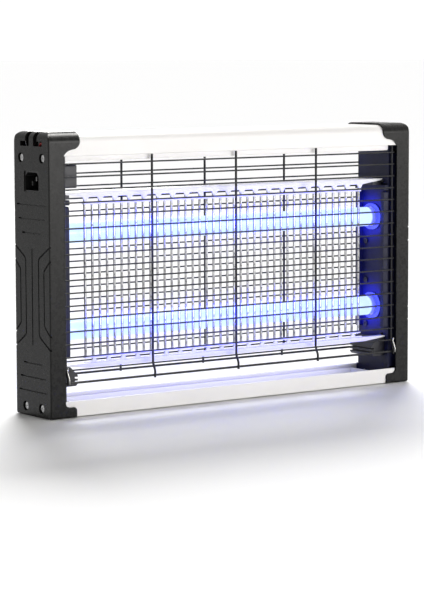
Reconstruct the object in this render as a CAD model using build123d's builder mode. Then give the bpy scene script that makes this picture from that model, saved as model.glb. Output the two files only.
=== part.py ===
from build123d import *
import os

# Electric bug zapper: two moulded end caps joined by a folded top channel and a base pan,
# two ultraviolet lamp tubes and a wire killing grid between them, a hinged guard on each
# side and a collection tray that slides out to the front.
# Millimetres. X runs along the zapper, -Y is the front, +Z is up.
# The origin is the centre of the footprint, on the surface the zapper stands on.

os.makedirs("parts", exist_ok=True)

# ---------------------------------------------------------------- driving dimensions

WIDTH = 424.0
DEPTH = 60.0
HEIGHT = 260.0
HALF_WIDTH = WIDTH / 2
HALF_DEPTH = DEPTH / 2

# End caps
SKIN = 1.6                  # moulded wall of the flanges, top and bottom
SIDE_WALL = 2.5             # moulded wall of the side face
FLANGE_X = 196.0            # inner edge of the upright flanges
TOP_HORN_X = 178.5          # tip of the upper corner horns
BOTTOM_HORN_X = 184.0       # tip of the lower corner horns
BOTTOM_HORN_TOP = 9.5
LOWER_NOTCH_TOP = 14.0
UPPER_NOTCH = 238.4         # height where the upper horn leaves the flange
TOP_RADIUS = 9.5            # long top edges
SIDE_TOP_ROUND = 6.1        # top edge of the side face
GROOVE_DEPTH = 1.5
SMALL_RADIUS = 1.2          # all round the side face
BOTTOM_RADIUS = 2.0         # long bottom edges
CAVITY_X = HALF_WIDTH - SIDE_WALL
PARTITION_X = (201.8, 203.2)

# Clearances
FIT = 0.2                   # between fixed pieces that sit against each other
SLIDE_GAP = 0.4             # around the tray's front panel

# Sheet metal between the caps
SHEET = 1.4
PAN_SHEET = 1.2
FACE_Y = HALF_DEPTH - SKIN - FIT
BEAM_END_X = 201.0
CHANNEL_BOTTOM = 238.2
CHANNEL_TOP = HEIGHT - SKIN - FIT
LIP_Y = 22.0
LIP_BOTTOM = 233.0
LIP_END_X = 190.6
PAN_BOTTOM = SKIN + FIT
PAN_WALL_TOP = 14.6
HEM_DEPTH = 3.0

# Inner covers
COVER_X = 190.8             # face towards the killing chamber
COVER_WALL = 2.2
COVER_BACK_X = COVER_X + COVER_WALL
COVER_Y = 23.0
COVER_FOOT_Y = 26.4
COVER_BOTTOM = 3.3
COVER_FOOT_TOP = 14.9
COVER_TOP = 242.0
SEAT_TOP = 229.5            # upright seats for the guards' side wires
SEAT_BACK_X = 202.0
RAIL_Y = 19.6
RAIL_WIDTH = 6.2
RAIL_HEIGHT = 5.2
RAIL_BOTTOM = 53.5
RAIL_TOP = 192.8
LEDGE_BOTTOM = 193.4
LEDGE_TOP = 198.1
LEDGE_DEPTH = 5.0

# Lamp tubes and holders
TUBE_Y = 4.0
TUBE_HEIGHTS = {"upper": 165.8, "lower": 76.0}
TUBE_RADIUS = 9.5
TUBE_CAP_RADIUS = 9.7
GLASS_END_X = 190.0
TUBE_CAP_END_X = 195.7
PIN_END_X = 202.5
PIN_RADIUS = 1.2
PIN_OFFSET = 6.35
HOLDER_END_X = 207.5
HOLDER_HALF = 11.0
HOLDER_HALF_HEIGHT = 12.0
NECK_RADIUS = 11.2
BEZEL_Y = 1.8
BEZEL_SIZE = (28.4, 26.0)
BEZEL_RADIUS = 12.5
BEZEL_DEPTH = 1.5

# Killing grid
WIRE_COUNT = 41
WIRE_PITCH = 8.1
WIRE_RADIUS = 1.3
WIRE_Y = -11.0
BUS_Y = WIRE_Y + 1.8
LIVE_BOTTOM = 51.4
LIVE_TOP = 202.0
RETURN_BOTTOM = 43.8
RETURN_TOP = 194.6
WEB_BACK_Y = WIRE_Y - WIRE_RADIUS - 0.1
WEB_SHEET = 1.05
WEB_FRONT_Y = WEB_BACK_Y - WEB_SHEET
WEB_END_X = 165.0
RAIL_TIP_X = 190.6
TOOTH_HEIGHT = 3.8
TOOTH_ROOT = 7.0
TOOTH_TIP = 2.2
UPPER_RAIL_TOP = 204.6
UPPER_RAIL_BOTTOM = 199.6
LOWER_RAIL_TOP = 47.2
LOWER_RAIL_BOTTOM = 43.2
LOWER_RAIL_FRONT = -18.5
SPACER_HEIGHT = 2.3
SPACER_WIDTH = 4.6

# Guards
GUARD_SIDE_X = 193.0
GUARD_UPRIGHT_Y = 25.4
GUARD_UPRIGHTS = (-GUARD_SIDE_X, -96.7, 0.0, 96.7, GUARD_SIDE_X)
UPRIGHT_RADIUS = 1.1
ROD_RADIUS = 0.75
ROD_COUNT = 17
ROD_PITCH = 11.73
ROD_TOP = 231.0
UPRIGHT_TOP = 237.8
HINGE_Z = ROD_TOP - ROD_COUNT * ROD_PITCH
HINGE_Y = 26.8
HINGE_END_X = 199.4
HINGE_HOLE_RADIUS = 1.18
KINK_TOP = 43.3
KINK_BOTTOM = 36.0
WELD = 0.12                 # how far crossing wires sink into each other

# Collection tray
TRAY_HALF = 182.0
TRAY_WALL = 1.2
TRAY_BOTTOM = 3.3
TRAY_TOP = 10.8
TRAY_BACK_Y = 24.0
TRAY_FRONT_TOP = 14.8
TRAY_FRONT_BOTTOM = 0.8
TRAY_FRONT_HALF = FLANGE_X - 0.6

# Mains inlet
INLET_Z = 215.0
INLET_BODY = (24.8, 18.6)
INLET_RECESS = (22.6, 16.4)
INLET_FRONT_X = -HALF_WIDTH + 1.0
INLET_BACK_X = -COVER_BACK_X - 0.3
INLET_DEPTH = 15.5
PIN_SETBACK = 4.6
PIN_BLADE = (2.0, 4.0)
PIN_PLACES = ((-7.0, 213.0), (7.0, 213.0), (0.0, 217.0))
PIN_TAB_X = -183.5
SHROUD_END_X = -173.4
SHROUD_HALF = 16.0
SHROUD_Z = (208.5, 229.5)

# Fasteners
TOP_SCREW = (18.0, 236.3)
BOTTOM_SCREW = (13.6, 8.5)
SCREW_PLACES = [(s * y, z) for y, z in (TOP_SCREW, BOTTOM_SCREW) for s in (-1, 1)]
RECESS_RADIUS = 4.5
BOSS_RADIUS = 6.0
BOSS_FLOOR_X = 208.2
BOSS_END_X = 201.5
SCREW_RADIUS = 1.7
SCREW_HEAD_RADIUS = 3.8
SCREW_HEAD_HEIGHT = 2.4
POST_RADIUS = 3.5
COVER_SCREW_Y = 11.0
COVER_SCREW_Z = (141.0, 101.0, 57.0)
COVER_SCREW_RADIUS = 1.4

# Electronics
BOARD_X = 199.0
BOARD_SHEET = 1.6
BOARD_Y = (-21.0, 5.0)
BOARD_Z = (93.0, 149.0)
PEG_PLACES = ((-8.0, 96.0), (2.0, 144.0))
LEAD_RADIUS = 1.0
THIN_LEAD_RADIUS = 0.8


# ---------------------------------------------------------------- helpers


def finish(piece, label):
    """Label a finished piece and write its file."""
    piece.part.label = label
    export_step(piece.part, "parts/" + label + ".step")


def block(x_limits, y_limits, z_limits, mode=Mode.ADD):
    """A box between two limits on each axis, in the part being built."""
    limits = (x_limits, y_limits, z_limits)
    centre = tuple((low + high) / 2 for low, high in limits)
    sizes = [abs(high - low) for low, high in limits]
    with Locations(centre):
        Box(*sizes, mode=mode)


def rod_x(x_limits, y, z, radius, mode=Mode.ADD):
    """A round bar along X."""
    with Locations(((x_limits[0] + x_limits[1]) / 2, y, z)):
        Cylinder(radius, abs(x_limits[1] - x_limits[0]), rotation=(0, 90, 0), mode=mode)


def rod_z(x, y, z_limits, radius, mode=Mode.ADD):
    """A round bar along Z."""
    with Locations((x, y, (z_limits[0] + z_limits[1]) / 2)):
        Cylinder(radius, abs(z_limits[1] - z_limits[0]), mode=mode)


def plate_face(y_half, z_limits, top_radius, bottom_radius):
    """A rectangle seen along X, with rounded top and bottom corners."""
    with BuildSketch(Plane.YZ) as face:
        with Locations((0, (z_limits[0] + z_limits[1]) / 2)):
            Rectangle(2 * y_half, z_limits[1] - z_limits[0])
        fillet(face.vertices().group_by(Axis.Y)[-1], top_radius)
        fillet(face.vertices().group_by(Axis.Y)[0], bottom_radius)
    return face.sketch


def lower_horn(gap=0.0):
    """Front outline of the right cap's lower corner, grown by a gap all round."""
    with BuildSketch(Plane.XZ) as outline:
        with BuildLine():
            Polyline(
                (HALF_WIDTH + gap, -gap),
                (BOTTOM_HORN_X - gap, -gap),
                (BOTTOM_HORN_X - gap, BOTTOM_HORN_TOP + gap - 3),
            )
            TangentArc(
                (BOTTOM_HORN_X - gap, BOTTOM_HORN_TOP + gap - 3),
                (BOTTOM_HORN_X - gap + 3, BOTTOM_HORN_TOP + gap),
                tangent=(0, 1),
            )
            Line(
                (BOTTOM_HORN_X - gap + 3, BOTTOM_HORN_TOP + gap),
                (FLANGE_X - gap - 4.5, BOTTOM_HORN_TOP + gap),
            )
            TangentArc(
                (FLANGE_X - gap - 4.5, BOTTOM_HORN_TOP + gap),
                (FLANGE_X - gap, LOWER_NOTCH_TOP + gap),
                tangent=(1, 0),
            )
            Polyline(
                (FLANGE_X - gap, LOWER_NOTCH_TOP + gap),
                (FLANGE_X - gap, LOWER_NOTCH_TOP + 6),
                (HALF_WIDTH + gap, LOWER_NOTCH_TOP + 6),
                (HALF_WIDTH + gap, -gap),
            )
        make_face()
    return outline.sketch


def upper_horn():
    """Front outline of the right cap from above the lower notch to the top."""
    with BuildSketch(Plane.XZ) as outline:
        with BuildLine():
            Polyline(
                (TOP_HORN_X, 251),
                (TOP_HORN_X, HEIGHT),
                (HALF_WIDTH - SIDE_TOP_ROUND, HEIGHT),
            )
            # Meets the top at a slight angle, so that it crosses the long top edges cleanly
            ThreePointArc(
                (HALF_WIDTH - SIDE_TOP_ROUND, HEIGHT),
                (HALF_WIDTH - 0.315 * SIDE_TOP_ROUND, HEIGHT - 0.315 * SIDE_TOP_ROUND),
                (HALF_WIDTH, HEIGHT - SIDE_TOP_ROUND),
            )
            Polyline(
                (HALF_WIDTH, HEIGHT - SIDE_TOP_ROUND),
                (HALF_WIDTH, LOWER_NOTCH_TOP + 6),
                (FLANGE_X, LOWER_NOTCH_TOP + 6),
                (FLANGE_X, UPPER_NOTCH),
            )
            ThreePointArc((FLANGE_X, UPPER_NOTCH), (193.2, 241.6), (188.5, 243.7))
            TangentArc((188.5, 243.7), (185.0, 244.4), tangent=(-1, 0.3))
            TangentArc((185.0, 244.4), (TOP_HORN_X, 251), tangent=(-1, 0.12))
        make_face()
    return outline.sketch


# ---------------------------------------------------------------- end caps


def side_grooves():
    """Shallow decorative lines on the side face, seen along X."""
    with BuildSketch(Plane.YZ) as grooves:
        for z, half in ((193.8, 25.4), (181, 22.7), (168.2, 16.5), (49, 16.2), (36.2, 21.5), (23.4, 24.3)):
            with Locations((0, z)):
                SlotOverall(2 * half, 1.5)
        with Locations((0, 109.75)):
            SlotOverall(88.5, 1.5, rotation=90)
        for side in (-1, 1):
            with BuildLine() as outer:
                FilletPolyline(
                    (side * 31, 157.2),
                    (side * 11, 145),
                    (side * 11, 74.8),
                    (side * 31, 62.4),
                    radius=5,
                )
            trace(outer.line, line_width=1.5)
            with BuildLine() as inner:
                FilletPolyline(
                    (side * 31, 144.4),
                    (side * 20, 134.5),
                    (side * 20, 84.8),
                    (side * 31, 74.8),
                    radius=4,
                )
            trace(inner.line, line_width=1.5)
    return grooves.sketch


def cap_cavity():
    """The hollow of the right cap, open towards the chamber."""
    with BuildPart() as cavity:
        with BuildSketch(Plane.XZ) as front_view:
            with BuildLine():
                Polyline((150, SKIN), (150, HEIGHT - SKIN), (CAVITY_X - 4, HEIGHT - SKIN))
                RadiusArc((CAVITY_X - 4, HEIGHT - SKIN), (CAVITY_X, HEIGHT - SKIN - 4), 4)
                Polyline((CAVITY_X, HEIGHT - SKIN - 4), (CAVITY_X, SKIN), (150, SKIN))
            make_face()
        extrude(amount=HALF_DEPTH - SKIN, both=True)
        side_view = plate_face(HALF_DEPTH - SKIN, (SKIN, HEIGHT - SKIN), TOP_RADIUS - SKIN, 0.6)
        extrude(side_view, amount=250, mode=Mode.INTERSECT)
    return cavity.part


def end_cap(side, has_inlet):
    """A moulded cap: side face, flanges and horns, with bosses, posts and guard pivots."""
    hollow = cap_cavity()
    with BuildPart() as cap:
        extrude(plate_face(HALF_DEPTH, (0, HEIGHT), TOP_RADIUS, BOTTOM_RADIUS), amount=HALF_WIDTH)
        fillet(cap.faces().sort_by(Axis.X)[-1].edges(), SMALL_RADIUS)
        with BuildSketch(Plane.XZ):
            add(upper_horn())
            add(lower_horn())
        extrude(amount=HALF_DEPTH, both=True, mode=Mode.INTERSECT)
        add(hollow, mode=Mode.SUBTRACT)
        # Screw bosses behind the side face
        for y, z in SCREW_PLACES:
            rod_x((BOSS_END_X, HALF_WIDTH - 1), y, z, BOSS_RADIUS)
            rod_x((BOSS_FLOOR_X, HALF_WIDTH + 1), y, z, RECESS_RADIUS, Mode.SUBTRACT)
            rod_x((BOSS_END_X - 1, BOSS_FLOOR_X), y, z, SCREW_RADIUS + 0.2, Mode.SUBTRACT)
        # Partition between the hanger slots and the top channel
        block(PARTITION_X, (-22, 22), (245, HEIGHT - SKIN + 0.4))
        # Posts for the cover screws
        for z in COVER_SCREW_Z:
            rod_x((COVER_BACK_X + 0.1, HALF_WIDTH - 1), COVER_SCREW_Y, z, POST_RADIUS)
            rod_x((COVER_BACK_X, 203), COVER_SCREW_Y, z, COVER_SCREW_RADIUS + 0.05, Mode.SUBTRACT)
        # Pivot blocks for the guards' hinge rods
        for y in (-1, 1):
            block((FLANGE_X + 0.3, 200), (y * 24.6, y * (HALF_DEPTH - 1)), (HINGE_Z - 3.6, HINGE_Z + 3.6))
            rod_x((FLANGE_X, HINGE_END_X + 0.2), y * HINGE_Y, HINGE_Z, HINGE_HOLE_RADIUS, Mode.SUBTRACT)
        # Hanger slots: an upright leg open at the top and a foot that points outwards
        for y in (-1, 1):
            block((204, HALF_WIDTH + 1), (y * 3.6, y * 10), (246.9, HEIGHT + 1), Mode.SUBTRACT)
            block((CAVITY_X - 1, HALF_WIDTH + 1), (y * 3.6, y * 18.5), (246.9, 251.5), Mode.SUBTRACT)
        grooves = side_grooves()
        extrude(grooves.moved(Location((HALF_WIDTH - GROOVE_DEPTH, 0, 0))), amount=3, mode=Mode.SUBTRACT)
        if side < 0:
            mirror(cap.part, about=Plane.YZ, mode=Mode.REPLACE)
        if has_inlet:
            y_half = INLET_BODY[0] / 2 + 0.1
            z_half = INLET_BODY[1] / 2 + 0.1
            block(
                (-HALF_WIDTH - 1, -CAVITY_X + 1),
                (-y_half, y_half),
                (INLET_Z - z_half, INLET_Z + z_half),
                Mode.SUBTRACT,
            )
    return cap


finish(end_cap(-1, True), "end_cap_left")
finish(end_cap(1, False), "end_cap_right")


# ---------------------------------------------------------------- sheet metal

with BuildPart() as top_channel:
    outside = plate_face(FACE_Y, (CHANNEL_BOTTOM, CHANNEL_TOP), TOP_RADIUS - SKIN - FIT, 0.3)
    inside = plate_face(
        FACE_Y - SHEET,
        (CHANNEL_BOTTOM + SHEET, CHANNEL_TOP - SHEET),
        TOP_RADIUS - SKIN - FIT - SHEET,
        0.3,
    )
    extrude(outside, amount=BEAM_END_X, both=True)
    extrude(inside, amount=BEAM_END_X, both=True, mode=Mode.SUBTRACT)
    opening_y = LIP_Y + 0.05
    block(
        (-BEAM_END_X, BEAM_END_X),
        (-opening_y, opening_y),
        (CHANNEL_BOTTOM - 1, CHANNEL_BOTTOM + SHEET),
        Mode.SUBTRACT,
    )
    for side in (-1, 1):
        # The returns stop at the inner covers
        block(
            (side * LIP_END_X, side * (BEAM_END_X + 1)),
            (-FACE_Y + SHEET, FACE_Y - SHEET),
            (CHANNEL_BOTTOM - 1, CHANNEL_BOTTOM + SHEET),
            Mode.SUBTRACT,
        )
    # Pilot hole for the earth screw
    rod_z(-170, 0, (CHANNEL_TOP - SHEET - 1, CHANNEL_TOP - 0.4), 1.55, Mode.SUBTRACT)
finish(top_channel, "top_channel")

# Upright strips along the channel's opening, which the guards close against
for side, name in ((-1, "front"), (1, "back")):
    with BuildPart() as guard_stop:
        block(
            (-LIP_END_X, LIP_END_X),
            (side * (LIP_Y - SHEET), side * LIP_Y),
            (LIP_BOTTOM, CHANNEL_BOTTOM + 4),
        )
        fillet(guard_stop.edges().filter_by(Axis.Y), 1.5)
    finish(guard_stop, "guard_stop_" + name)

with BuildPart() as base_pan:
    floor_top = PAN_BOTTOM + PAN_SHEET
    block((-BEAM_END_X, BEAM_END_X), (-26.6, FACE_Y), (PAN_BOTTOM, floor_top))
    block((-BEAM_END_X, BEAM_END_X), (FACE_Y - PAN_SHEET, FACE_Y), (PAN_BOTTOM, PAN_WALL_TOP))
    block(
        (-COVER_X + 0.3, COVER_X - 0.3),
        (FACE_Y - HEM_DEPTH, FACE_Y),
        (PAN_WALL_TOP - PAN_SHEET, PAN_WALL_TOP),
    )
finish(base_pan, "base_pan")


# ---------------------------------------------------------------- inner covers


def inner_cover(side):
    """The black wall between a cap and the chamber, with guard seats, rails and a ledge."""
    with BuildPart() as cover:
        block((COVER_X, COVER_BACK_X), (-COVER_Y, COVER_Y), (COVER_BOTTOM, COVER_TOP))
        block((COVER_X, COVER_BACK_X), (-COVER_FOOT_Y, COVER_FOOT_Y), (COVER_BOTTOM, COVER_FOOT_TOP))
        for y in (-1, 1):
            # Upright seat for a guard's side wire: a return wall and a back wall
            block((COVER_X, SEAT_BACK_X), (y * (COVER_Y - 2), y * COVER_Y), (16, SEAT_TOP))
            block((SEAT_BACK_X - 1.7, SEAT_BACK_X), (y * (COVER_Y - 2), y * FACE_Y), (16, SEAT_TOP))
            # Long rounded rail
            with BuildSketch(Plane.YZ.offset(COVER_X)) as rail:
                with Locations((y * RAIL_Y, (RAIL_BOTTOM + RAIL_TOP) / 2)):
                    SlotOverall(RAIL_TOP - RAIL_BOTTOM, RAIL_WIDTH, rotation=90)
            extrude(amount=-RAIL_HEIGHT, taper=8)
        block((COVER_X - LEDGE_DEPTH, COVER_X), (-COVER_Y, COVER_Y), (LEDGE_BOTTOM, LEDGE_TOP))
        # Bosses that take the cap screws, and pegs for the circuit board
        for y, z in SCREW_PLACES:
            rod_x((COVER_BACK_X - 0.5, BOSS_END_X - 0.2), y, z, POST_RADIUS)
            rod_x((COVER_X - 1, BOSS_END_X), y, z, SCREW_RADIUS + 0.05, Mode.SUBTRACT)
        for y, z in PEG_PLACES:
            rod_x((COVER_BACK_X - 0.5, BOARD_X), y, z, 2.2)
        for z in TUBE_HEIGHTS.values():
            rod_x((COVER_X - 1, COVER_BACK_X + 1), TUBE_Y, z, NECK_RADIUS + 0.1, Mode.SUBTRACT)
        for z in COVER_SCREW_Z:
            rod_x((COVER_X - 1, COVER_BACK_X + 1), COVER_SCREW_Y, z, COVER_SCREW_RADIUS + 0.1, Mode.SUBTRACT)
        if side > 0:
            # Passages for the two grid leads
            for z in (201.5, 48.6):
                rod_x((COVER_X - 1, COVER_BACK_X + 1), -14.5, z, 1.2, Mode.SUBTRACT)
        else:
            # Window behind the mains inlet
            block((COVER_X - 1, COVER_BACK_X + 1), (-11, 11), (208.8, 227.8), Mode.SUBTRACT)
            mirror(cover.part, about=Plane.YZ, mode=Mode.REPLACE)
    return cover


finish(inner_cover(-1), "inner_cover_left")
finish(inner_cover(1), "inner_cover_right")


# ---------------------------------------------------------------- killing grid


def wire_x(index):
    """X of one upright grid wire, counted from the left."""
    return (index - (WIRE_COUNT - 1) / 2) * WIRE_PITCH


def grid_wires(first_index, z_limits, bus_z):
    """Every second upright wire, welded to one bus wire behind them."""
    with BuildPart() as wires:
        places = [wire_x(index) for index in range(first_index, WIRE_COUNT, 2)]
        rod_x((places[0] - 1, places[-1] + 1), BUS_Y, bus_z, WIRE_RADIUS)
        with Locations([(x, WIRE_Y, sum(z_limits) / 2) for x in places]):
            Cylinder(WIRE_RADIUS, z_limits[1] - z_limits[0])
    return wires


def teeth(first_index, root_z, tip_z):
    """Tapered teeth of a grid rail, one in front of every second wire, seen from the front."""
    with BuildSketch(Plane.XZ) as row:
        for index in range(first_index, WIRE_COUNT, 2):
            x = wire_x(index)
            with BuildLine():
                Polyline(
                    (x - TOOTH_ROOT / 2, root_z),
                    (x + TOOTH_ROOT / 2, root_z),
                    (x + TOOTH_TIP / 2, tip_z),
                    (x - TOOTH_TIP / 2, tip_z),
                    (x - TOOTH_ROOT / 2, root_z),
                )
            make_face()
    return row.sketch


def tapered_strip(low_z, high_z, tip_low_z, tip_high_z):
    """A long strip seen from the front that narrows towards both inner covers."""
    with BuildSketch(Plane.XZ) as strip:
        with BuildLine():
            Polyline(
                (-WEB_END_X, low_z),
                (WEB_END_X, low_z),
                (RAIL_TIP_X, tip_low_z),
                (RAIL_TIP_X, tip_high_z),
                (WEB_END_X, high_z),
                (-WEB_END_X, high_z),
                (-RAIL_TIP_X, tip_high_z),
                (-RAIL_TIP_X, tip_low_z),
                (-WEB_END_X, low_z),
            )
        make_face()
    return strip.sketch


def at_y(sketch, y):
    """A front-view sketch moved to a plane at Y."""
    return sketch.moved(Location((0, y, 0)))


with BuildPart() as upper_grid_rail:
    web = tapered_strip(UPPER_RAIL_BOTTOM, UPPER_RAIL_TOP, 203.2, UPPER_RAIL_TOP)
    extrude(at_y(web, WEB_BACK_Y), amount=WEB_SHEET)
    comb = teeth(0, UPPER_RAIL_BOTTOM + 0.2, UPPER_RAIL_BOTTOM - TOOTH_HEIGHT)
    extrude(at_y(comb, WEB_BACK_Y), amount=WEB_SHEET)
    block((-186, 186), (WEB_FRONT_Y, 6), (UPPER_RAIL_TOP - WEB_SHEET, UPPER_RAIL_TOP))
finish(upper_grid_rail, "upper_grid_rail")

with BuildPart() as lower_grid_rail:
    lip = tapered_strip(LOWER_RAIL_BOTTOM, LOWER_RAIL_TOP, 45.9, LOWER_RAIL_TOP)
    extrude(at_y(lip, LOWER_RAIL_FRONT + WEB_SHEET), amount=WEB_SHEET)
    block(
        (-RAIL_TIP_X, RAIL_TIP_X),
        (LOWER_RAIL_FRONT, WEB_BACK_Y),
        (LOWER_RAIL_TOP - WEB_SHEET, LOWER_RAIL_TOP),
    )
    block((-WEB_END_X, WEB_END_X), (WEB_FRONT_Y, WEB_BACK_Y), (LOWER_RAIL_TOP - 0.5, LOWER_RAIL_TOP + 0.8))
    comb = teeth(1, LOWER_RAIL_TOP, LOWER_RAIL_TOP + TOOTH_HEIGHT - 0.2)
    extrude(at_y(comb, WEB_BACK_Y), amount=WEB_SHEET)
finish(lower_grid_rail, "lower_grid_rail")

finish(grid_wires(0, (LIVE_BOTTOM, LIVE_TOP), LIVE_TOP - 1), "live_wires")
finish(grid_wires(1, (RETURN_BOTTOM, RETURN_TOP), RETURN_BOTTOM + 1), "return_wires")


def wire_spacer(bottom_z):
    """An insulating strip with a hole for every wire."""
    with BuildPart() as spacer:
        half = WEB_END_X - 1.5
        y_half = SPACER_WIDTH / 2
        block((-half, half), (WIRE_Y - y_half, WIRE_Y + y_half), (bottom_z, bottom_z + SPACER_HEIGHT))
        with Locations([(wire_x(index), WIRE_Y, bottom_z) for index in range(WIRE_COUNT)]):
            Cylinder(WIRE_RADIUS + 0.12, 3 * SPACER_HEIGHT, mode=Mode.SUBTRACT)
    return spacer


finish(wire_spacer(192.8), "upper_wire_spacer")
finish(wire_spacer(51.0), "lower_wire_spacer")


def upper_grid_block(side):
    """Insulator between the upper rail and the cover's ledge."""
    with BuildPart() as insulator:
        block(
            (side * 179, side * (COVER_X - 0.1)),
            (WEB_BACK_Y + 0.1, 8),
            (LEDGE_TOP + 0.1, UPPER_RAIL_TOP - WEB_SHEET - 0.05),
        )
        fillet(insulator.edges().filter_by(Axis.Z), 0.8)
    return insulator


def lower_grid_block(side):
    """Insulator that stands on the cover and carries the lower rail's end."""
    with BuildPart() as insulator:
        with BuildSketch(Plane.XZ) as profile:
            with BuildLine():
                Polyline(
                    (side * (COVER_X - 0.1), 27),
                    (side * (COVER_X - 0.1), 46),
                    (side * 184, 46),
                    (side * 174.8, 37),
                    (side * 174.8, 29),
                    (side * 176.8, 27),
                    (side * (COVER_X - 0.1), 27),
                )
            make_face()
        extrude(amount=17.2, both=True)
        for z in (31.0, 34.6):
            block((side * 173, side * 178), (-18, 18), (z - 0.8, z + 0.8), Mode.SUBTRACT)
    return insulator


for side, name in ((-1, "left"), (1, "right")):
    finish(upper_grid_block(side), "grid_block_upper_" + name)
    finish(lower_grid_block(side), "grid_block_lower_" + name)


# ---------------------------------------------------------------- lamp tubes and holders


def lamp_holder(side, z):
    """A two-pin holder behind an inner cover; its round slot lets the pins turn."""
    with BuildPart() as holder:
        block(
            (side * (COVER_BACK_X + 0.1), side * HOLDER_END_X),
            (TUBE_Y - HOLDER_HALF, TUBE_Y + HOLDER_HALF),
            (z - HOLDER_HALF_HEIGHT, z + HOLDER_HALF_HEIGHT),
        )
        fillet(holder.edges().filter_by(Axis.X), 3)
        # Bezel on the chamber side, on a short neck through the inner cover
        rod_x((side * (COVER_X - 0.5), side * (COVER_BACK_X + 0.5)), TUBE_Y, z, NECK_RADIUS)
        with BuildSketch(Plane.YZ.offset(side * (COVER_X - 0.1))):
            with Locations((BEZEL_Y, z)):
                RectangleRounded(*BEZEL_SIZE, BEZEL_RADIUS)
        extrude(amount=-side * BEZEL_DEPTH)
        rod_x((side * 188, side * 196), TUBE_Y, z, TUBE_CAP_RADIUS + 0.5, Mode.SUBTRACT)
        rod_x((side * 195, side * 203.5), TUBE_Y, z, PIN_OFFSET + PIN_RADIUS + 0.5, Mode.SUBTRACT)
        rod_x((side * 196, side * 205), TUBE_Y, z, PIN_OFFSET - PIN_RADIUS - 0.5)
    return holder


for level, z in TUBE_HEIGHTS.items():
    for side, name in ((-1, "left"), (1, "right")):
        finish(lamp_holder(side, z), "lamp_holder_" + level + "_" + name)

    with BuildPart() as tube_glass:
        rod_x((-GLASS_END_X, GLASS_END_X), TUBE_Y, z, TUBE_RADIUS)
    finish(tube_glass, level + "_tube_glass")

    with BuildPart() as tube_caps:
        for side in (-1, 1):
            rod_x((side * GLASS_END_X, side * TUBE_CAP_END_X), TUBE_Y, z, TUBE_CAP_RADIUS)
        fillet(tube_caps.edges().filter_by(GeomType.CIRCLE).group_by(Axis.X)[0], 0.8)
        fillet(tube_caps.edges().filter_by(GeomType.CIRCLE).group_by(Axis.X)[-1], 0.8)
    finish(tube_caps, level + "_tube_caps")

    with BuildPart() as tube_pins:
        for side in (-1, 1):
            for offset in (-PIN_OFFSET, PIN_OFFSET):
                rod_x((side * TUBE_CAP_END_X, side * PIN_END_X), TUBE_Y, z + offset, PIN_RADIUS)
    finish(tube_pins, level + "_tube_pins")


# ---------------------------------------------------------------- guards


def kinked_upright(x, y_side):
    """A guard upright: straight, then stepping outwards to pass in front of the hinge rod."""
    straight_y = y_side * GUARD_UPRIGHT_Y
    kink_y = y_side * (HINGE_Y + 2 * UPRIGHT_RADIUS - WELD)
    with BuildPart() as upright:
        with BuildLine() as path:
            FilletPolyline(
                (x, straight_y, UPRIGHT_TOP),
                (x, straight_y, KINK_TOP),
                (x, kink_y, KINK_BOTTOM),
                (x, kink_y, HINGE_Z - 2),
                radius=3,
            )
        with BuildSketch(Plane((x, straight_y, UPRIGHT_TOP), z_dir=(0, 0, -1))):
            Circle(UPRIGHT_RADIUS)
        sweep(path=path.wire())
    return upright.part


def guard(y_side):
    """A welded wire guard with its thick hinge rod at the bottom."""
    uprights = [kinked_upright(x, y_side) for x in GUARD_UPRIGHTS]
    rod_y = y_side * (GUARD_UPRIGHT_Y + UPRIGHT_RADIUS + ROD_RADIUS - WELD)
    with BuildPart() as grille:
        rod_x((-HINGE_END_X, HINGE_END_X), y_side * HINGE_Y, HINGE_Z, UPRIGHT_RADIUS)
        for upright in uprights:
            add(upright)
        for index in range(ROD_COUNT):
            z = ROD_TOP - index * ROD_PITCH
            half = GUARD_SIDE_X + UPRIGHT_RADIUS + 0.2
            rod_x((-half, half), rod_y, z, ROD_RADIUS)
    return grille


finish(guard(-1), "front_guard")
finish(guard(1), "back_guard")


# ---------------------------------------------------------------- collection tray

with BuildPart() as collection_tray:
    # Front panel, notched around the caps' lower horns
    panel_back_y = -FACE_Y + SHEET
    block(
        (-TRAY_FRONT_HALF, TRAY_FRONT_HALF),
        (-FACE_Y, panel_back_y),
        (TRAY_FRONT_BOTTOM, TRAY_FRONT_TOP),
    )
    notch = lower_horn(SLIDE_GAP)
    extrude(notch, amount=HALF_DEPTH, mode=Mode.SUBTRACT)
    extrude(mirror(notch, about=Plane.YZ, mode=Mode.PRIVATE), amount=HALF_DEPTH, mode=Mode.SUBTRACT)
    # Shallow tray behind it
    block((-TRAY_HALF, TRAY_HALF), (panel_back_y - 0.2, TRAY_BACK_Y), (TRAY_BOTTOM, TRAY_TOP))
    block(
        (-TRAY_HALF + TRAY_WALL, TRAY_HALF - TRAY_WALL),
        (panel_back_y, TRAY_BACK_Y - TRAY_WALL),
        (TRAY_BOTTOM + TRAY_WALL, TRAY_TOP + 1),
        Mode.SUBTRACT,
    )
finish(collection_tray, "collection_tray")


# ---------------------------------------------------------------- mains inlet

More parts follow.
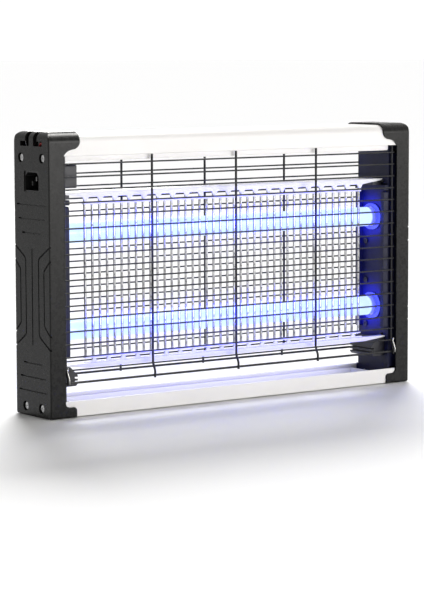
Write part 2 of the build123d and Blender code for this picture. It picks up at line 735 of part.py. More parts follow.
with BuildPart() as power_inlet:
    block(
        (INLET_FRONT_X, INLET_BACK_X),
        (-INLET_BODY[0] / 2, INLET_BODY[0] / 2),
        (INLET_Z - INLET_BODY[1] / 2, INLET_Z + INLET_BODY[1] / 2),
    )
    fillet(power_inlet.edges().filter_by(Axis.X), 1)
    with BuildSketch(Plane.YZ.offset(INLET_FRONT_X)) as recess:
        with Locations((0, INLET_Z)):
            Rectangle(*INLET_RECESS)
        chamfer(recess.vertices().group_by(Axis.Y)[-1], 3.5)
    extrude(amount=INLET_DEPTH, mode=Mode.SUBTRACT)
    for y, z in PIN_PLACES:
        block(
            (INLET_FRONT_X + INLET_DEPTH - 1, INLET_BACK_X + 1),
            (y - PIN_BLADE[0] / 2 - 0.05, y + PIN_BLADE[0] / 2 + 0.05),
            (z - PIN_BLADE[1] / 2 - 0.05, z + PIN_BLADE[1] / 2 + 0.05),
            Mode.SUBTRACT,
        )
finish(power_inlet, "power_inlet")

with BuildPart() as inlet_pins:
    for y, z in PIN_PLACES:
        block(
            (INLET_FRONT_X + PIN_SETBACK, PIN_TAB_X),
            (y - PIN_BLADE[0] / 2, y + PIN_BLADE[0] / 2),
            (z - PIN_BLADE[1] / 2, z + PIN_BLADE[1] / 2),
        )
    fillet(inlet_pins.edges().filter_by(Axis.X), 0.4)
finish(inlet_pins, "inlet_pins")

with BuildPart() as inlet_shroud:
    wall = 1.5
    block((-COVER_X + 0.05, SHROUD_END_X), (-SHROUD_HALF, SHROUD_HALF), SHROUD_Z)
    fillet(inlet_shroud.edges().filter_by(Axis.X), 1.5)
    block(
        (-COVER_X, SHROUD_END_X - wall),
        (-SHROUD_HALF + wall, SHROUD_HALF - wall),
        (SHROUD_Z[0] + wall, SHROUD_Z[1] - wall),
        Mode.SUBTRACT,
    )
finish(inlet_shroud, "inlet_shroud")


# ---------------------------------------------------------------- electronics


def circuit_board(side):
    """A bare board on the pegs of an inner cover."""
    with BuildPart() as board:
        block((side * BOARD_X, side * (BOARD_X + BOARD_SHEET)), BOARD_Y, BOARD_Z)
        fillet(board.edges().filter_by(Axis.X), 1.5)
    return board


COMPONENT_X = BOARD_X + BOARD_SHEET

finish(circuit_board(-1), "driver_board")
finish(circuit_board(1), "voltage_board")

with BuildPart() as driver_transformer:
    block((-COMPONENT_X, -COMPONENT_X - 8.2), (-18, -5), (114, 128))
    block((-COMPONENT_X - 1.2, -COMPONENT_X - 7), (-19.5, -3.5), (116.5, 125.5))
    fillet(driver_transformer.edges().filter_by(Axis.Y).group_by(Axis.X)[0], 1)
finish(driver_transformer, "driver_transformer")

with BuildPart() as driver_capacitors:
    for y, z in ((-14.5, 103), (-4, 103), (-14.5, 138)):
        rod_x((-COMPONENT_X, -COMPONENT_X - 8), y, z, 4)
finish(driver_capacitors, "driver_capacitors")

with BuildPart() as voltage_capacitors:
    for z in (100, 108, 116, 124):
        block((COMPONENT_X, COMPONENT_X + 7.5), (-17, -5), (z - 2.5, z + 2.5))
    fillet(voltage_capacitors.edges().filter_by(Axis.X), 1.5)
finish(voltage_capacitors, "voltage_capacitors")

with BuildPart() as voltage_resistors:
    for y in (-13, -4):
        rod_z(COMPONENT_X + 2.2, y, (132, 144), 2)
finish(voltage_resistors, "voltage_resistors")


# ---------------------------------------------------------------- leads


def lead(points, radius, bend):
    """An insulated lead along straight runs joined by arcs."""
    direction = Vector(points[1]) - Vector(points[0])
    with BuildPart() as wire:
        with BuildLine() as path:
            FilletPolyline(*points, radius=bend)
        with BuildSketch(Plane(points[0], z_dir=direction)):
            Circle(radius)
        sweep(path=path.wire())
    return wire


TAB_END_X = PIN_TAB_X + 1.2
LOOP_X = 207.0
LOOP_Z = 249.2
WINDOW_Z = 226.2
CAP_LEAD_X = 197.5
THIN_LEAD_X = 195.0

live_route = (
    (TAB_END_X, -7, 213),
    (TAB_END_X, -7, WINDOW_Z),
    (-CAP_LEAD_X, -5.5, WINDOW_Z),
    (-CAP_LEAD_X, -5.5, 242),
    (-LOOP_X, -5.5, 242),
    (-LOOP_X, -8, LOOP_Z),
    (-LOOP_X, -26.2, LOOP_Z),
    (-LOOP_X, -26.2, 226),
    (-LOOP_X, -17, 218),
    (-CAP_LEAD_X, -16.5, 211),
    (-CAP_LEAD_X, -16.5, 158),
    (-CAP_LEAD_X, -12, 147),
)
finish(lead(live_route, LEAD_RADIUS, 2.4), "mains_lead_live")

neutral_route = (
    (TAB_END_X, 7, 213),
    (TAB_END_X, 7, WINDOW_Z),
    (-CAP_LEAD_X, 7, WINDOW_Z),
    (-CAP_LEAD_X, 17.5, WINDOW_Z),
    (-CAP_LEAD_X, 17.5, 149),
    (-CAP_LEAD_X, 0, 149),
)
finish(lead(neutral_route, LEAD_RADIUS, 4), "mains_lead_neutral")

earth_route = (
    (TAB_END_X, 0, 217),
    (TAB_END_X, 0, WINDOW_Z),
    (-CAP_LEAD_X, 0, WINDOW_Z),
    (-CAP_LEAD_X, 0, 252),
    (-179, 0, 252),
    (-175.2, 0, 254.6),
)
finish(lead(earth_route, LEAD_RADIUS, 3), "earth_lead")

cross_half = (
    (198.0, 4, 120),
    (THIN_LEAD_X, 9, 121),
    (THIN_LEAD_X, 18.5, 126),
    (THIN_LEAD_X, 18.5, 222),
    (THIN_LEAD_X, 9, 231),
    (THIN_LEAD_X, 9, 250.5),
)
cross_route = [(-x, y, z) for x, y, z in cross_half] + list(reversed(cross_half))
finish(lead(cross_route, THIN_LEAD_RADIUS, 2.2), "cross_lead")

for side, name in ((-1, "left"), (1, "right")):
    for level, z, start_z in (("upper", TUBE_HEIGHTS["upper"], 136), ("lower", TUBE_HEIGHTS["lower"], 106)):
        turn_z = start_z + (10 if level == "upper" else -10)
        lamp_route = (
            (side * 198.0, -14.2, start_z),
            (side * THIN_LEAD_X, -14.2, turn_z),
            (side * THIN_LEAD_X, -14.2, z),
            (side * THIN_LEAD_X, TUBE_Y - HOLDER_HALF - 0.1, z),
        )
        finish(lead(lamp_route, THIN_LEAD_RADIUS, 2.4), "lamp_lead_" + level + "_" + name)

for level, start_z, end_z in (("upper", 132, 201.5), ("lower", 110, 48.6)):
    grid_route = (
        (198.0, -19, start_z),
        (THIN_LEAD_X + 0.6, -18.6, start_z + (8 if level == "upper" else -8)),
        (THIN_LEAD_X + 0.6, -18.6, end_z + (-8 if level == "upper" else 8)),
        (THIN_LEAD_X + 0.6, -14.5, end_z),
        (187.6, -14.5, end_z),
    )
    finish(lead(grid_route, THIN_LEAD_RADIUS, 1.8), "grid_lead_" + level)


# ---------------------------------------------------------------- fasteners

with BuildPart() as earth_lug:
    lug_z = CHANNEL_TOP - SHEET
    block((-174.6, -166), (-2.6, 2.6), (lug_z - 0.9, lug_z - 0.05))
    fillet(earth_lug.edges().filter_by(Axis.Z), 2.5)
    block((-176.6, -173), (-1.3, 1.3), (lug_z - 0.9, lug_z - 0.05))
    rod_z(-170, 0, (lug_z - 2, lug_z + 1), 1.6, Mode.SUBTRACT)
finish(earth_lug, "earth_lug")

with BuildPart() as earth_screw:
    rod_z(-170, 0, (lug_z - 3, lug_z - 0.95), 2.6)
    rod_z(-170, 0, (lug_z - 1, CHANNEL_TOP - 0.5), 1.45)
    block((-172, -168), (-0.3, 0.3), (lug_z - 3.5, lug_z - 2.2), Mode.SUBTRACT)
finish(earth_screw, "earth_screw")


def cross_recess(side, face_x, y, z, reach):
    """A cross-shaped driver recess in a screw head that faces along X."""
    for half_y, half_z in ((reach, 0.35), (0.35, reach)):
        block(
            (face_x - side * 0.9, face_x + side),
            (y - half_y, y + half_y),
            (z - half_z, z + half_z),
            Mode.SUBTRACT,
        )


def cap_screws(side):
    """Four pan-head screws that pull a cap onto its inner cover."""
    with BuildPart() as screws:
        head_x = side * (BOSS_FLOOR_X + SCREW_HEAD_HEIGHT)
        for y, z in SCREW_PLACES:
            rod_x((side * BOSS_FLOOR_X, head_x), y, z, SCREW_HEAD_RADIUS)
        rims = screws.edges().filter_by(GeomType.CIRCLE).filter_by_position(Axis.X, head_x - 0.01, head_x + 0.01)
        fillet(rims, 0.9)
        for y, z in SCREW_PLACES:
            rod_x((side * (COVER_X + 0.2), side * BOSS_FLOOR_X), y, z, SCREW_RADIUS)
            cross_recess(side, head_x, y, z, 1.9)
    return screws


def cover_screws(side):
    """Three black screws that hold an inner cover to its cap's posts."""
    with BuildPart() as screws:
        for z in COVER_SCREW_Z:
            rod_x((side * (COVER_X - 1.6), side * (COVER_X - 0.05)), COVER_SCREW_Y, z, 2.7)
            rod_x((side * (COVER_X - 0.1), side * 202.5), COVER_SCREW_Y, z, COVER_SCREW_RADIUS)
            cross_recess(-side, side * (COVER_X - 1.6), COVER_SCREW_Y, z, 1.5)
    return screws


for side, name in ((-1, "left"), (1, "right")):
    finish(cap_screws(side), "cap_screws_" + name)
    finish(cover_screws(side), "cover_screws_" + name)
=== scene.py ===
import math

import bmesh
import bpy
from mathutils import Matrix, Vector


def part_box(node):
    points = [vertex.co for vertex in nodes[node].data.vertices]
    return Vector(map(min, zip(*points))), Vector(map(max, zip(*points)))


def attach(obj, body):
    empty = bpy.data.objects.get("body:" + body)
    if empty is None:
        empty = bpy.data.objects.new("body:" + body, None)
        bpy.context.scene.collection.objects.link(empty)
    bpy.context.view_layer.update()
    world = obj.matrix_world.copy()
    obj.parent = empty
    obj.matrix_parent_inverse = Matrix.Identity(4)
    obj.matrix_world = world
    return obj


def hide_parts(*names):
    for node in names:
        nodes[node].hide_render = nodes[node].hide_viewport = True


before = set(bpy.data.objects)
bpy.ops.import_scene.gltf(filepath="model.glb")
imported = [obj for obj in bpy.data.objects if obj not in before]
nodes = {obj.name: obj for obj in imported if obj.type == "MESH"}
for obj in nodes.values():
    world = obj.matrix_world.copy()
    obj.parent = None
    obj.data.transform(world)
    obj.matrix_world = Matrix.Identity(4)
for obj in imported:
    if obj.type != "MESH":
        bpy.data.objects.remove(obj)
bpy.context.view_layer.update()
scene = bpy.context.scene

LEVELS = ("upper", "lower")
SIDES = ((-1, "left"), (1, "right"))
X_AXIS = Vector((1, 0, 0))

# ---------------------------------------------------------------- camera

SENSOR_WIDTH = 36.0
FOCAL_LENGTH = 144.55
VIEW_DISTANCE = 60.0
CAMERA_PLACE = Vector((-1.36012, -1.8617, 0.33624))
YAW, PITCH, ROLL = 0.6274, -0.1049, -0.003

camera_data = bpy.data.cameras.new("camera")
camera_data.sensor_width = SENSOR_WIDTH
camera_data.lens = FOCAL_LENGTH
camera_data.clip_end = VIEW_DISTANCE
camera = bpy.data.objects.new("camera", camera_data)
scene.collection.objects.link(camera)
scene.camera = camera
forward = Vector((math.sin(YAW) * math.cos(PITCH), math.cos(YAW) * math.cos(PITCH), math.sin(PITCH)))
right = forward.cross(Vector((0, 0, 1))).normalized()
up = right.cross(forward)
turned_right = right * math.cos(ROLL) + up * math.sin(ROLL)
turned_up = up * math.cos(ROLL) - right * math.sin(ROLL)
rotation = Matrix((turned_right, turned_up, -forward)).transposed()
camera.matrix_world = Matrix.Translation(CAMERA_PLACE) @ rotation.to_4x4()

# ---------------------------------------------------------------- shader helper

# The mix node has one pair of inputs and one output for each kind of data; these are the colour ones
MIX_COLOURS = (6, 7)
MIX_RESULT = 2


class Shader:
    """One material's node tree, with a principled shader at its end."""

    def __init__(self, name):
        self.material = bpy.data.materials.new(name)
        self.material.use_nodes = True
        self.tree = self.material.node_tree
        self.tree.nodes.clear()
        output = self.node("ShaderNodeOutputMaterial")
        self.bsdf = self.node("ShaderNodeBsdfPrincipled")
        self.link(self.bsdf.outputs["BSDF"], output.inputs["Surface"])
        self.place = self.node("ShaderNodeTexCoord").outputs["Object"]

    def node(self, kind, **settings):
        made = self.tree.nodes.new(kind)
        for key, value in settings.items():
            setattr(made, key, value)
        return made

    def link(self, source, target):
        self.tree.links.new(source, target)

    def drive(self, name, source):
        """Links a socket to one of the shader's own inputs."""
        self.link(source, self.bsdf.inputs[name])

    def set(self, **values):
        """Constants on the shader's own sockets; underscores stand for spaces."""
        for key, value in values.items():
            self.bsdf.inputs[key.replace("_", " ")].default_value = value

    def noise(self, scale, detail, roughness=0.55, stretch=(1, 1, 1)):
        mapping = self.node("ShaderNodeMapping")
        mapping.inputs["Scale"].default_value = stretch
        self.link(self.place, mapping.inputs["Vector"])
        noise = self.node("ShaderNodeTexNoise")
        noise.inputs["Scale"].default_value = scale
        noise.inputs["Detail"].default_value = detail
        noise.inputs["Roughness"].default_value = roughness
        self.link(mapping.outputs["Vector"], noise.inputs["Vector"])
        return noise.outputs["Fac"]

    def ramp(self, value, low, high, start, end):
        """Maps a value between start and end to low and high."""
        ranged = self.node("ShaderNodeMapRange")
        ranged.inputs["From Min"].default_value = start
        ranged.inputs["From Max"].default_value = end
        ranged.inputs["To Min"].default_value = low
        ranged.inputs["To Max"].default_value = high
        self.link(value, ranged.inputs["Value"])
        return ranged.outputs["Result"]

    def multiply(self, first, second):
        product = self.node("ShaderNodeMath", operation="MULTIPLY")
        self.link(first, product.inputs[0])
        self.link(second, product.inputs[1])
        return product.outputs[0]

    def blend(self, factor, first, second):
        """Mixes two colours; each is a colour or the socket that gives one."""
        mix = self.node("ShaderNodeMix", data_type="RGBA")
        self.link(factor, mix.inputs["Factor"])
        for index, colour in zip(MIX_COLOURS, (first, second)):
            if isinstance(colour, tuple):
                mix.inputs[index].default_value = colour
            else:
                self.link(colour, mix.inputs[index])
        return mix.outputs[MIX_RESULT]

    def edges(self, radius):
        """1 along edges and 0 elsewhere, from a bevelled normal."""
        bevel = self.node("ShaderNodeBevel", samples=4)
        bevel.inputs["Radius"].default_value = radius
        geometry = self.node("ShaderNodeNewGeometry")
        dot = self.node("ShaderNodeVectorMath", operation="DOT_PRODUCT")
        self.link(bevel.outputs["Normal"], dot.inputs[0])
        self.link(geometry.outputs["Normal"], dot.inputs[1])
        return self.ramp(dot.outputs["Value"], 1.0, 0.0, 0.80, 0.99)

    def worn_edges(self, base, worn, radius, wear):
        """Base colour that turns to the worn colour along edges, as far as the wear value says."""
        amount = self.multiply(self.edges(radius), wear)
        self.drive("Base Color", self.blend(amount, base, worn))

    def roughen(self, marks, low, high):
        """Roughness that follows a noise."""
        self.drive("Roughness", self.ramp(marks, low, high, 0.3, 0.7))

    def bump(self, value, distance):
        bump = self.node("ShaderNodeBump")
        bump.inputs["Distance"].default_value = distance
        bump.inputs["Strength"].default_value = 1.0
        self.link(value, bump.inputs["Height"])
        self.drive("Normal", bump.outputs["Normal"])


def grey(value, tint=(1, 1, 1)):
    return tuple(value * part for part in tint) + (1.0,)


def scaled(colour, factor):
    """The same colour, lighter or darker, with no part over 1."""
    return tuple(min(1.0, part * factor) for part in colour[:3]) + (1.0,)


def moulded(name, colour, worn, roughness, grain=2600.0, depth=0.00006, spread=0.25):
    """Moulded plastic with a fine grain, soft shade variation and paler worn edges."""
    shader = Shader(name)
    drift = shader.ramp(shader.noise(22.0, 3.0), 0.0, 1.0, 0.35, 0.65)
    base = shader.blend(drift, colour, scaled(colour, 1 + spread))
    scuffs = shader.noise(160.0, 6.0, 0.7)
    shader.worn_edges(base, worn, 0.0006, shader.ramp(scuffs, 0.15, 0.85, 0.42, 0.62))
    shader.roughen(scuffs, roughness - 0.06, roughness + 0.08)
    shader.bump(shader.noise(grain, 2.0, 0.5), depth)
    return shader


def painted(name, colour, worn, roughness, peel=420.0):
    """Powder-coated sheet: slight orange peel, faint shade drift and worn edges."""
    shader = Shader(name)
    drift = shader.ramp(shader.noise(9.0, 2.0), 0.0, 1.0, 0.35, 0.65)
    base = shader.blend(drift, colour, scaled(colour, 0.965))
    specks = shader.noise(240.0, 5.0, 0.65)
    shader.worn_edges(base, worn, 0.0004, shader.ramp(specks, 0.0, 0.5, 0.5, 0.68))
    shader.roughen(specks, roughness - 0.05, roughness + 0.07)
    shader.bump(shader.noise(peel, 2.0, 0.4), 0.00003)
    return shader


def metal(name, colour, dull, roughness, stretch=(1, 1, 1)):
    """Bare metal with drawing or brushing marks along one direction and dull patches."""
    shader = Shader(name)
    patches = shader.ramp(shader.noise(60.0, 4.0), 0.0, 1.0, 0.4, 0.7)
    shader.drive("Base Color", shader.blend(patches, colour, dull))
    streaks = shader.noise(900.0, 3.0, 0.6, stretch)
    shader.roughen(streaks, roughness - 0.07, roughness + 0.12)
    shader.set(Metallic=1.0)
    shader.bump(streaks, 0.00002)
    return shader


def insulation(name, colour):
    """The soft plastic skin of a lead."""
    return moulded(name, colour, scaled(colour, 1.6), 0.42, grain=1400.0)


# ---------------------------------------------------------------- materials of the CAD nodes

WHITE = grey(0.86, (1.0, 0.985, 0.97))
cap_plastic = moulded("cap_plastic", grey(0.008, (1.0, 0.985, 0.96)), grey(0.05), 0.27, depth=0.00003)
cap_plastic.set(Specular_IOR_Level=0.17)
channel_paint = painted("channel_paint", WHITE, grey(0.7), 0.42)
pan_paint = painted("pan_paint", grey(0.84, (0.99, 0.98, 1.0)), grey(0.7), 0.40)
tray_plastic = moulded("tray_plastic", WHITE, grey(0.92), 0.42, depth=0.00003, spread=0.03)
cover_plastic = moulded("cover_plastic", (0.007, 0.008, 0.030, 1), grey(0.03), 0.42)
cover_plastic.set(Specular_IOR_Level=0.22)
insulator_plastic = moulded("insulator_plastic", (0.009, 0.009, 0.015, 1), grey(0.05), 0.36)
insulator_plastic.set(Specular_IOR_Level=0.4)
HOLDER_GREY = (0.085, 0.09, 0.11, 1)
holder_plastic = moulded("holder_plastic", HOLDER_GREY, grey(0.16), 0.35, depth=0.00002, spread=0.05)
RAIL_WHITE = grey(0.84, (0.98, 0.98, 1.0))
rail_plastic = moulded("rail_plastic", RAIL_WHITE, grey(0.95), 0.30, depth=0.00002, spread=0.04)
inlet_plastic = moulded("inlet_plastic", grey(0.008), grey(0.03), 0.34, depth=0.00003)
inlet_plastic.set(Specular_IOR_Level=0.3)
board_mask = moulded("board_mask", (0.02, 0.13, 0.05, 1), (0.3, 0.25, 0.1, 1), 0.35, grain=700)
transformer_tape = moulded("transformer_tape", (0.6, 0.42, 0.05, 1), (0.7, 0.55, 0.2, 1), 0.45)
capacitor_sleeve = moulded("capacitor_sleeve", (0.02, 0.02, 0.07, 1), (0.4, 0.4, 0.45, 1), 0.28)
film_coating = moulded("film_coating", (0.32, 0.03, 0.01, 1), (0.45, 0.1, 0.05, 1), 0.25)
resistor_coating = moulded("resistor_coating", (0.5, 0.34, 0.18, 1), (0.6, 0.45, 0.3, 1), 0.35)
guard_paint = painted("guard_paint", grey(0.009, (0.95, 0.95, 1.2)), grey(0.12), 0.36, peel=1400.0)
guard_paint.set(Specular_IOR_Level=0.28)
black_screw = painted("black_screw", grey(0.012), grey(0.2), 0.32, peel=1400.0)
grid_steel = metal("grid_steel", grey(0.50, (0.98, 0.99, 1.0)), grey(0.30), 0.18, (1, 1, 0.03))
tube_metal = metal("tube_metal", grey(0.78), grey(0.6), 0.30, (1, 0.05, 0.05))
pin_brass = metal("pin_brass", (0.66, 0.50, 0.24, 1), (0.45, 0.33, 0.14, 1), 0.28, (0.05, 1, 1))
screw_zinc = metal("screw_zinc", grey(0.5), grey(0.3), 0.26)
# Painted shade: the nickel inlet pins get a grey far darker than bare nickel, so they read as lying in
# the shade of the inlet's recess
pin_nickel = metal("pin_nickel", grey(0.16), grey(0.10), 0.42, (0.05, 1, 1))
lug_tin = metal("lug_tin", grey(0.66), grey(0.5), 0.34)
lead_red = insulation("lead_red", (0.26, 0.008, 0.008, 1))
lead_blue = insulation("lead_blue", (0.01, 0.04, 0.24, 1))
lead_green = insulation("lead_green", (0.08, 0.26, 0.03, 1))
lead_black = insulation("lead_black", grey(0.014))
lead_white = insulation("lead_white", grey(0.62))


def at_each_end(kind):
    """The four nodes of a kind that has one at both ends of both levels."""
    return [kind + "_" + level + "_" + side_name for level in LEVELS for _, side_name in SIDES]


finishes = {
    cap_plastic: ["end_cap_left", "end_cap_right"],
    channel_paint: ["top_channel", "guard_stop_front", "guard_stop_back"],
    pan_paint: ["base_pan"],
    tray_plastic: ["collection_tray"],
    cover_plastic: ["inner_cover_left", "inner_cover_right"],
    insulator_plastic: ["inlet_shroud"] + at_each_end("grid_block"),
    holder_plastic: at_each_end("lamp_holder"),
    rail_plastic: ["upper_grid_rail", "lower_grid_rail", "upper_wire_spacer", "lower_wire_spacer"],
    grid_steel: ["live_wires", "return_wires"],
    tube_metal: ["upper_tube_caps", "lower_tube_caps"],
    pin_brass: ["upper_tube_pins", "lower_tube_pins"],
    pin_nickel: ["inlet_pins"],
    guard_paint: ["front_guard", "back_guard"],
    inlet_plastic: ["power_inlet"],
    board_mask: ["driver_board", "voltage_board"],
    transformer_tape: ["driver_transformer"],
    capacitor_sleeve: ["driver_capacitors"],
    film_coating: ["voltage_capacitors"],
    resistor_coating: ["voltage_resistors"],
    lead_red: ["mains_lead_live"],
    lead_blue: ["mains_lead_neutral"],
    lead_green: ["earth_lead"],
    lead_black: ["grid_lead_upper", "grid_lead_lower"],
    lead_white: ["cross_lead"] + at_each_end("lamp_lead"),
    lug_tin: ["earth_lug"],
    screw_zinc: ["earth_screw", "cap_screws_left", "cap_screws_right"],
    black_screw: ["cover_screws_left", "cover_screws_right"],
}
for shader, names in finishes.items():
    for name in names:
        mesh = nodes[name].data
        mesh.materials.clear()
        mesh.materials.append(shader.material)

# ---------------------------------------------------------------- mesh helpers


def new_piece(name, built, shader, smooth):
    """A scene object from a finished bmesh, with its material."""
    mesh = bpy.data.meshes.new(name)
    built.to_mesh(mesh)
    built.free()
    for polygon in mesh.polygons:
        polygon.use_smooth = smooth
    mesh.materials.append(shader.material)
    piece = bpy.data.objects.new(name, mesh)
    scene.collection.objects.link(piece)
    return piece


def join_rings(built, rings):
    """Faces between a row of vertex rings, and one across each end."""
    for first, second in zip(rings, rings[1:]):
        for index in range(len(first)):
            following = (index + 1) % len(first)
            built.faces.new((first[index], first[following], second[following], second[index]))
    built.faces.new(rings[0])
    built.faces.new(list(reversed(rings[-1])))
    bmesh.ops.recalc_face_normals(built, faces=built.faces)


# ---------------------------------------------------------------- lamp tubes

TUBE_SEGMENTS = 48
TUBE_GLOW = (0.68, 0.90, 1.0, 1.0)
TUBE_END_GLOW = (0.20, 0.24, 1.0, 1)
# Where the glow dims and turns blue, as distances from the middle of the object
DIM_X = (0.1842, 0.1858)
BLUE_X = (0.1838, 0.1858)
# How far in from each end the glass has what it is short of its full radius there
END_ROUNDING = ((0.0, 0.0024), (0.0003, 0.0014), (0.0012, 0.0004), (0.003, 0.0))
STRAIGHT_INSET = 0.03
STRAIGHT_STEPS = 12


def glowing_tube(name):
    """Phosphor tube: bright along its length, dimmer and bluer at both ends."""
    shader = Shader(name)
    shader.set(Base_Color=(0.08, 0.12, 0.3, 1), Roughness=0.25, IOR=1.5)
    split = shader.node("ShaderNodeSeparateXYZ")
    shader.link(shader.place, split.inputs[0])
    side = shader.node("ShaderNodeMath", operation="ABSOLUTE")
    shader.link(split.outputs["X"], side.inputs[0])
    glow = shader.ramp(side.outputs[0], 1.0, 0.75, *DIM_X)
    flicker = shader.ramp(shader.noise(30.0, 2.0), 0.94, 1.06, 0.3, 0.7)
    shader.drive("Emission Strength", shader.multiply(glow, flicker))
    near_end = shader.ramp(side.outputs[0], 0.0, 1.0, *BLUE_X)
    shader.drive("Emission Color", shader.blend(near_end, TUBE_GLOW, TUBE_END_GLOW))
    return shader


def lathe_x(name, profile, centre, shader):
    """A closed solid of revolution about X from (x, radius) pairs."""
    built = bmesh.new()
    rings = []
    for x, radius in profile:
        ring = []
        for index in range(TUBE_SEGMENTS):
            angle = 2 * math.pi * index / TUBE_SEGMENTS
            offset = Vector((x, radius * math.cos(angle), radius * math.sin(angle)))
            ring.append(built.verts.new(centre + offset))
        rings.append(ring)
    join_rings(built, rings)
    return new_piece(name, built, shader, smooth=True)


tube_phosphor = glowing_tube("tube_phosphor")
for level in LEVELS:
    low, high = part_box(level + "_tube_glass")
    radius = (high.z - low.z) / 2
    half = high.x
    straight_length = 2 * (half - STRAIGHT_INSET)
    profile = [(-half + inset, radius - cut) for inset, cut in END_ROUNDING]
    for step in range(STRAIGHT_STEPS + 1):
        profile.append((-half + STRAIGHT_INSET + step * straight_length / STRAIGHT_STEPS, radius))
    profile += [(half - inset, radius - cut) for inset, cut in reversed(END_ROUNDING)]
    tube = lathe_x(level + "_tube_lamp", profile, (low + high) / 2, tube_phosphor)
    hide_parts(level + "_tube_glass")
    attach(tube, level + "_tube")

# ---------------------------------------------------------------- painted shade in the hanger slots

# Painted shade: a near-black sheet on the partition behind each hanger slot, so the slots read as dark
# shade; its spans are distances from the middle of the object
SHADE_SHEET_X = (0.2033, 0.2038)
SHADE_SHEET_Y = (0.0026, 0.0195)
SHADE_SHEET_Z = (0.2455, 0.2582)


def plain_box(name, spans, shader):
    """A closed box from its span along each axis."""
    low = Vector([min(span) for span in spans])
    high = Vector([max(span) for span in spans])
    size = high - low
    built = bmesh.new()
    bmesh.ops.create_cube(built, size=1.0)
    for vertex in built.verts:
        vertex.co = (low + high) / 2 + Vector(part * width for part, width in zip(vertex.co, size))
    return new_piece(name, built, shader, smooth=False)


# Painted shade: near black and almost without gloss, standing for the shade inside the hanger slots
shade_sheet_black = moulded("shade_sheet_black", grey(0.003), grey(0.01), 0.85, spread=0.1)
shade_sheet_black.set(Specular_IOR_Level=0.05)
for side, side_name in SIDES:
    for face, face_name in ((-1, "front"), (1, "back")):
        spans = ([side * x for x in SHADE_SHEET_X], [face * y for y in SHADE_SHEET_Y], SHADE_SHEET_Z)
        shade_piece = plain_box("slot_shade_sheet_" + side_name + "_" + face_name, spans, shade_sheet_black)
        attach(shade_piece, "housing")

# ---------------------------------------------------------------- guard clips

# A plated wire clip lies against the outside of each guard's side wires, over their kink
CLIP_X = 0.1930
CLIP_RADIUS = 0.0006
CLIP_SEGMENTS = 16
CLIP_PATH_YZ = ((0.0293, 0.0455), (0.0282, 0.0425), (0.0318, 0.0352), (0.0318, 0.0312))


def bent_rod(name, points, radius, shader):
    """A closed round rod along straight runs across X, mitred at each bend."""
    built = bmesh.new()
    rings = []
    for index, place in enumerate(points):
        before = points[max(index - 1, 0)]
        after = points[min(index + 1, len(points) - 1)]
        other = (after - before).cross(X_AXIS).normalized()
        ring = []
        for step in range(CLIP_SEGMENTS):
            angle = 2 * math.pi * step / CLIP_SEGMENTS
            offset = radius * (math.cos(angle) * X_AXIS + math.sin(angle) * other)
            ring.append(built.verts.new(place + offset))
        rings.append(ring)
    join_rings(built, rings)
    return new_piece(name, built, shader, smooth=True)


clip_steel = metal("clip_steel", (0.55, 0.54, 0.52, 1), grey(0.3), 0.24, (1, 1, 0.1))
for body, face in (("front_guard", -1), ("back_guard", 1)):
    for side, side_name in SIDES:
        points = [Vector((side * CLIP_X, face * y, z)) for y, z in CLIP_PATH_YZ]
        clip = bent_rod(body + "_clip_" + side_name, points, CLIP_RADIUS, clip_steel)
        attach(clip, body)

# ---------------------------------------------------------------- floor

FLOOR_Z = -0.0004
FLOOR_HALF = 60.0

floor_paper = Shader("floor_paper")
floor_paper.set(Base_Color=grey(0.9), Roughness=0.9)
floor_corners = [(-FLOOR_HALF, -FLOOR_HALF), (FLOOR_HALF, -FLOOR_HALF)]
floor_corners += [(FLOOR_HALF, FLOOR_HALF), (-FLOOR_HALF, FLOOR_HALF)]
built = bmesh.new()
built.faces.new([built.verts.new((x, y, FLOOR_Z)) for x, y in floor_corners])
floor = new_piece("floor", built, floor_paper, smooth=False)

# ---------------------------------------------------------------- sky

AMBIENT = 0.24
GLOSSY_SKY = 0.85
CAMERA_SKY = 1.06

world = bpy.data.worlds.new("studio")
scene.world = world
world.use_nodes = True
sky = world.node_tree
backdrop = sky.nodes["Background"]
backdrop.inputs["Color"].default_value = (1.0, 0.995, 0.985, 1)
ray = sky.nodes.new("ShaderNodeLightPath")


def sky_switch(ray_kind, strength):
    """A node that gives this strength to one kind of ray, and its To Min value to the others."""
    switch = sky.nodes.new("ShaderNodeMapRange")
    switch.inputs["To Max"].default_value = strength
    sky.links.new(ray.outputs[ray_kind], switch.inputs["Value"])
    return switch


glossy_switch = sky_switch("Is Glossy Ray", GLOSSY_SKY)
glossy_switch.inputs["To Min"].default_value = AMBIENT
camera_switch = sky_switch("Is Camera Ray", CAMERA_SKY)
sky.links.new(glossy_switch.outputs["Result"], camera_switch.inputs["To Min"])
sky.links.new(camera_switch.outputs["Result"], backdrop.inputs["Strength"])

# ---------------------------------------------------------------- studio lights

WARM = (1.0, 0.985, 0.96)
SUN_STRENGTH = 5.2
SUN_SOFTNESS = math.radians(24)
SUN_PLACE = (1.35, 1.9, 1.45)


def aim(lamp, place, target):
    direction = Vector(target) - Vector(place)
    lamp.rotation_euler = direction.to_track_quat("-Z", "Y").to_euler()
    lamp.location = place


def area_light(name, place, target, size, power, colour, diffuse=True, glossy=True):
    """A rectangular light that the camera doesn't see."""
    light = bpy.data.lights.new(name, "AREA")
    light.shape = "RECTANGLE"
    light.size, light.size_y = size
    light.energy = power
    light.color = colour
    lamp = bpy.data.objects.new(name, light)
    scene.collection.objects.link(lamp)
    aim(lamp, place, target)
    lamp.visible_camera = False
    lamp.visible_diffuse = diffuse
    lamp.visible_glossy = glossy
    return lamp


sun = bpy.data.lights.new("back_key", "SUN")
sun.energy = SUN_STRENGTH
sun.angle = SUN_SOFTNESS
sun_lamp = bpy.data.objects.new("back_key", sun)
scene.collection.objects.link(sun_lamp)
sun_lamp.visible_glossy = False
aim(sun_lamp, SUN_PLACE, (0, 0, 0))

area_light("front_fill", (1.2, -3.0, 0.55), (0, 0, 0.12), (2.4, 0.9), 57, WARM)
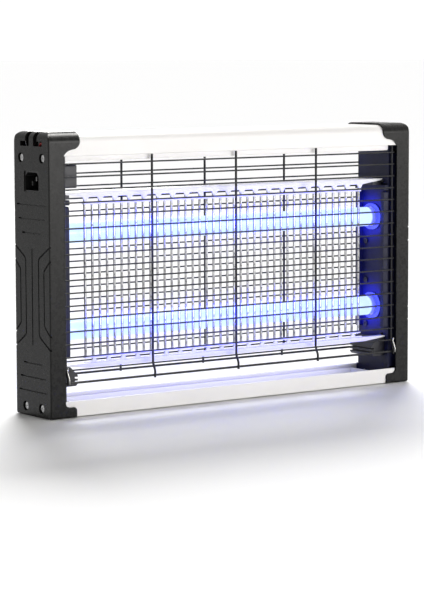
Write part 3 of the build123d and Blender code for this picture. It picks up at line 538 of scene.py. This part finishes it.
# These two show only as reflections, for the rounded shoulders and tops of the caps
area_light("top_strip", (0.5, -0.25, 2.4), (0, 0, 0.2), (2.6, 1.1), 230, WARM, diffuse=False)
area_light("back_sheen", (1.3, 2.8, 0.5), (-0.2, 0, 0.26), (1.0, 0.55), 20, WARM, diffuse=False)

# ---------------------------------------------------------------- blue light of the tubes

BLUE = (0.035, 0.05, 1.0)
GLOW_POWER = 0.03
GLOW_WIDTH = 0.008
GLOW_GAP = 0.0006
GLOW_INSET = 0.006
GLOW_STRIPS = 4
HALO_POWER = 0.30
HALO_WIDTH = 0.012
HALO_INSET = 0.025
HALO_Y = -0.075
HALO_SPREAD = math.radians(80)
END_POWER = 0.010
END_SIZE = (0.008, 0.008)
END_X = 0.181
END_RADIUS = 0.0145
END_LIGHTS = 8


def strip_light(name, place, outward, size, power, glossy):
    """A light that is long in X and shines along the outward direction."""
    strip = area_light(name, place, place + outward, size, power, BLUE, glossy=glossy)
    back = -outward.normalized()
    strip.rotation_euler = Matrix((X_AXIS, back.cross(X_AXIS), back)).transposed().to_euler()
    return strip


for level in LEVELS:
    low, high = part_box(level + "_tube_glass")
    centre = (low + high) / 2
    axis_place = Vector((0, centre.y, centre.z))
    length = 2 * high.x - 2 * GLOW_INSET
    # Strips just off the glass, facing away from it
    for turn in range(GLOW_STRIPS):
        angle = math.pi / 4 + turn * 2 * math.pi / GLOW_STRIPS
        outward = Vector((0, math.cos(angle), math.sin(angle)))
        offset = outward * ((high.z - low.z) / 2 + GLOW_GAP)
        label = level + "_glow_" + str(turn)
        strip_light(label, axis_place + offset, offset, (length, GLOW_WIDTH), GLOW_POWER, glossy=False)
    # A strip in front of the front guard, for the blue cast on the rods and the grid
    place = Vector((0, HALO_Y, centre.z))
    halo_size = (length - 2 * HALO_INSET, HALO_WIDTH)
    halo = strip_light(level + "_halo", place, Vector((0, 1, 0)), halo_size, HALO_POWER, glossy=True)
    halo.data.spread = HALO_SPREAD
    # Small lights round both tube ends, facing the inner covers
    for side, _ in SIDES:
        for turn in range(END_LIGHTS):
            angle = turn * 2 * math.pi / END_LIGHTS
            spot = axis_place + END_RADIUS * Vector((0, math.cos(angle), math.sin(angle)))
            spot.x = side * END_X
            label = level + "_end_" + str(side) + "_" + str(turn)
            area_light(label, spot, spot + side * X_AXIS, END_SIZE, END_POWER, BLUE, glossy=False)

scene.view_settings.view_transform = "Standard"
